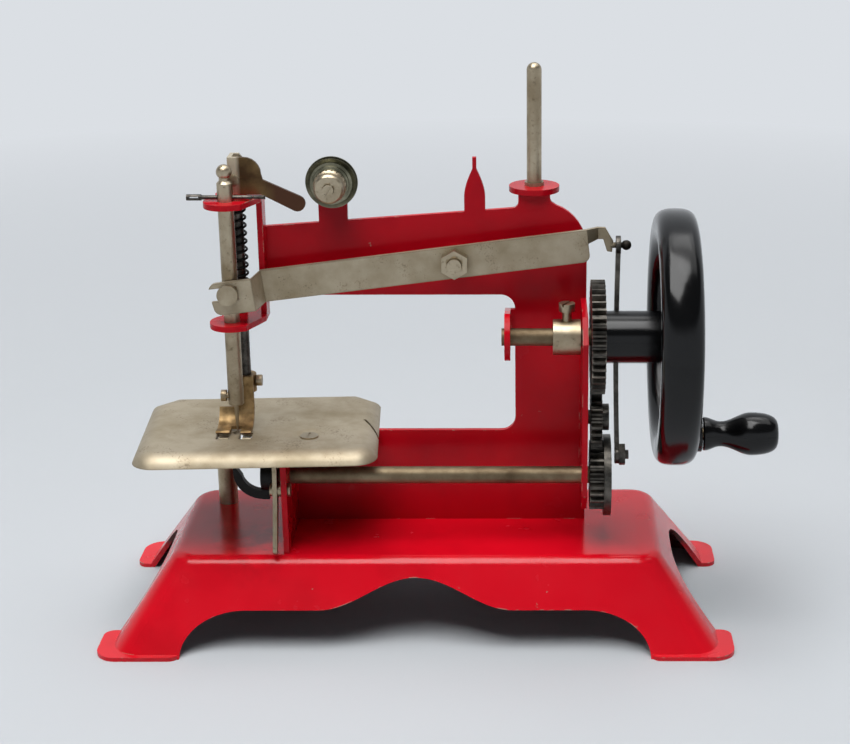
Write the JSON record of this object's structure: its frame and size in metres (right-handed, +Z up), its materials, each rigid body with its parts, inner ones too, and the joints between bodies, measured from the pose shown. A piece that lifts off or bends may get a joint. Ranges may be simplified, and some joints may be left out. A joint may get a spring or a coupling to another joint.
{
  "type": "toy sewing machine",
  "caption": "Hand-cranked toy sewing machine with gear train, needle lever, sprung presser foot and cloth plate on a pressed red enamel base.",
  "frame": {"origin": "middle of the whole machine's box, on the floor under the feet", "axes": "+X along the machine towards the hand wheel, +Y to the back, +Z up"},
  "size_m": [0.1892, 0.088, 0.1572],
  "materials": {
    "red_enamel": "gloss red enamel on pressed sheet steel",
    "nickel": "aged nickel plate on steel",
    "dark_steel": "dark oiled steel",
    "tension_brass": "worn plated brass",
    "black_plastic": "gloss black moulding"
  },
  "bodies": {
    "machine": {"base": "red_enamel", "frame": "red_enamel", "frame_screws": "nickel", "spool_pin": "nickel", "tension_stud": "nickel", "tension_discs": "tension_brass", "cloth_plate": "nickel", "plate_screw": "nickel", "plate_post": "nickel", "lever_bolt": "nickel", "lever_nut": "nickel", "idler_stud": "dark_steel", "feed_rivet": "nickel"},
    "wheel": {"main_shaft": "nickel", "shaft_collar": "nickel", "collar_screw": "nickel", "main_gear": "dark_steel", "hand_wheel": "black_plastic", "crank_pin": "nickel"},
    "handle": {"crank_handle": "black_plastic"},
    "idler": {"idler_gear": "dark_steel"},
    "looper_drive": {"lower_gear": "dark_steel", "crank_disc": "dark_steel", "looper_shaft": "nickel", "looper": "dark_steel"},
    "lever": {"needle_lever": "nickel"},
    "rod": {"connecting_rod": "dark_steel", "rod_screw": "dark_steel"},
    "needle_carrier": {"needle_bar": "nickel", "needle": "nickel", "needle_screw": "nickel", "lever_stud": "nickel", "split_pin": "dark_steel"},
    "presser": {"presser_bar": "nickel", "presser_collar": "dark_steel", "presser_spring": "dark_steel", "presser_foot": "nickel", "foot_screw": "nickel", "lifter_rivet": "nickel"},
    "lifter": {"presser_lifter": "dark_steel"},
    "feed": {"feed_lever": "nickel", "feed_dog": "nickel"},
    "tension": {"tension_nut": "nickel"}
  },
  "joints": [
    {"name": "wheel_spin", "type": "hinge", "parent": "machine", "child": "wheel", "pos_m": [0.04387, -0.0089, 0.0853], "axis": [1, 0, 0], "continuous": true},
    {"name": "handle_spin", "type": "hinge", "parent": "wheel", "child": "handle", "pos_m": [0.08388, -0.0089, 0.057], "axis": [1, 0, 0], "continuous": true},
    {"name": "idler_spin", "type": "hinge", "parent": "machine", "child": "idler", "pos_m": [0.04387, -0.0089, 0.06205], "axis": [1, 0, 0], "continuous": true},
    {"name": "looper_spin", "type": "hinge", "parent": "machine", "child": "looper_drive", "pos_m": [0.04387, -0.0089, 0.0448], "axis": [1, 0, 0], "continuous": true},
    {"name": "lever_swing", "type": "hinge", "parent": "machine", "child": "lever", "pos_m": [0.00498, 0.0002, 0.1041], "axis": [0, 1, 0], "range_deg": [0, 15]},
    {"name": "rod_swing", "type": "hinge", "parent": "lever", "child": "rod", "pos_m": [0.05013, 0.0042, 0.10779], "axis": [0, 1, 0], "range_deg": [-15.1, 0]},
    {"name": "needle_slide", "type": "slide", "parent": "machine", "child": "needle_carrier", "axis": [0, 0, 1], "range_m": [0, 0.0163]},
    {"name": "presser_lift", "type": "slide", "parent": "machine", "child": "presser", "axis": [0, 0, 1], "range_m": [0, 0.004], "deforming": ["presser_spring"]},
    {"name": "lifter_swing", "type": "hinge", "parent": "presser", "child": "lifter", "pos_m": [-0.05493, 0.0041, 0.1268], "axis": [0, 1, 0], "range_deg": [0, 20]},
    {"name": "feed_swing", "type": "hinge", "parent": "machine", "child": "feed", "pos_m": [-0.04492, -0.0159, 0.0432], "axis": [1, 0, 0], "range_deg": [-2.5, 2.5]},
    {"name": "tension_turn", "type": "hinge", "parent": "machine", "child": "tension", "pos_m": [-0.02863, 0.0001, 0.1254], "axis": [0, 1, 0], "range_deg": [-180, 180]}
  ],
  "couplings": [
    {"joint": "idler_spin", "follows": "wheel_spin", "ratio": -1.8182},
    {"joint": "looper_spin", "follows": "wheel_spin", "ratio": 1.6667},
    {"joint": "rod_swing", "follows": "lever_swing", "ratio": -1},
    {"joint": "needle_slide", "follows": "lever_swing", "m_per_rad": 0.0617},
    {"joint": "presser_lift", "follows": "lifter_swing", "m_per_rad": 0.0113}
  ]
}
